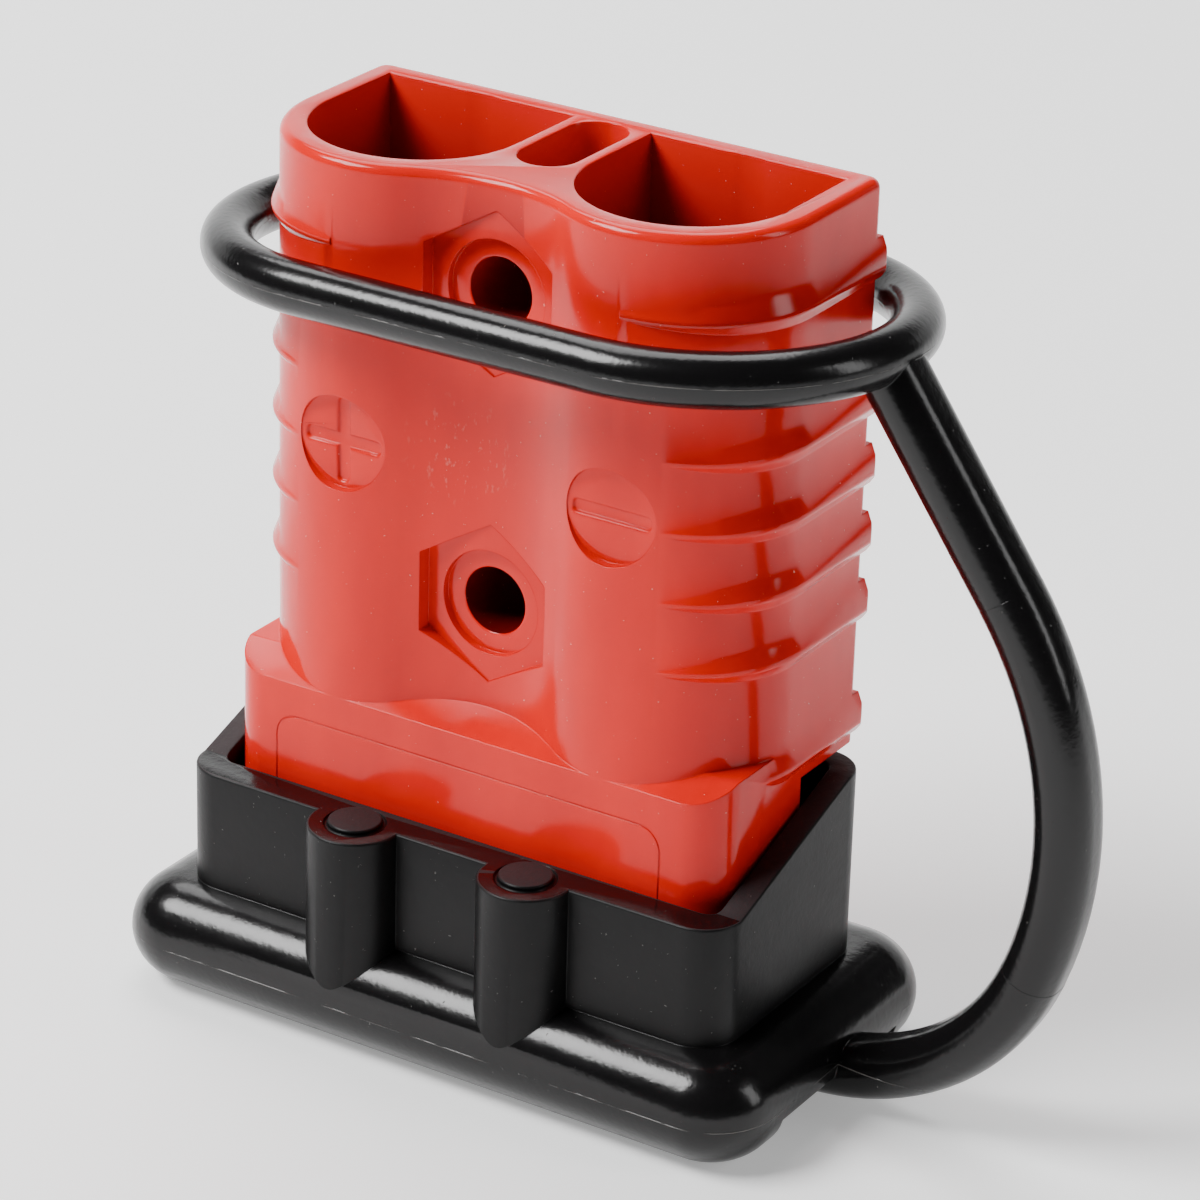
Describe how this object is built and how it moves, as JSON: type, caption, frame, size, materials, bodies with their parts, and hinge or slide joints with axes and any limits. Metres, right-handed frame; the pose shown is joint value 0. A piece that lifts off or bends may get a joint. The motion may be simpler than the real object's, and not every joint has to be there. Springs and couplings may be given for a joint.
{
  "type": "genderless power connector",
  "caption": "Flat two-pole power connector with ribbed lobed housing, crimp contacts and a tethered dust cap on its mating end.",
  "frame": {"origin": "on the surface that the dust cap stands on, in the middle plane and on the middle line of the housing", "axes": "+Z from the mating end to the cable end, +X toward the negative pole and the strap, -Y toward the side with the nut recesses"},
  "size_m": [0.0972, 0.0458, 0.0885],
  "materials": {
    "housing_plastic": "glossy red moulding",
    "contact_metal": "silver plated copper",
    "spring_steel": "bright spring steel",
    "cap_rubber": "black flexible moulding, glossy with a satin collar"
  },
  "bodies": {
    "root": {"housing": "housing_plastic", "contact_positive": "contact_metal", "contact_negative": "contact_metal", "spring_positive": "spring_steel", "spring_negative": "spring_steel", "dust_cap": "cap_rubber"}
  },
  "joints": []
}
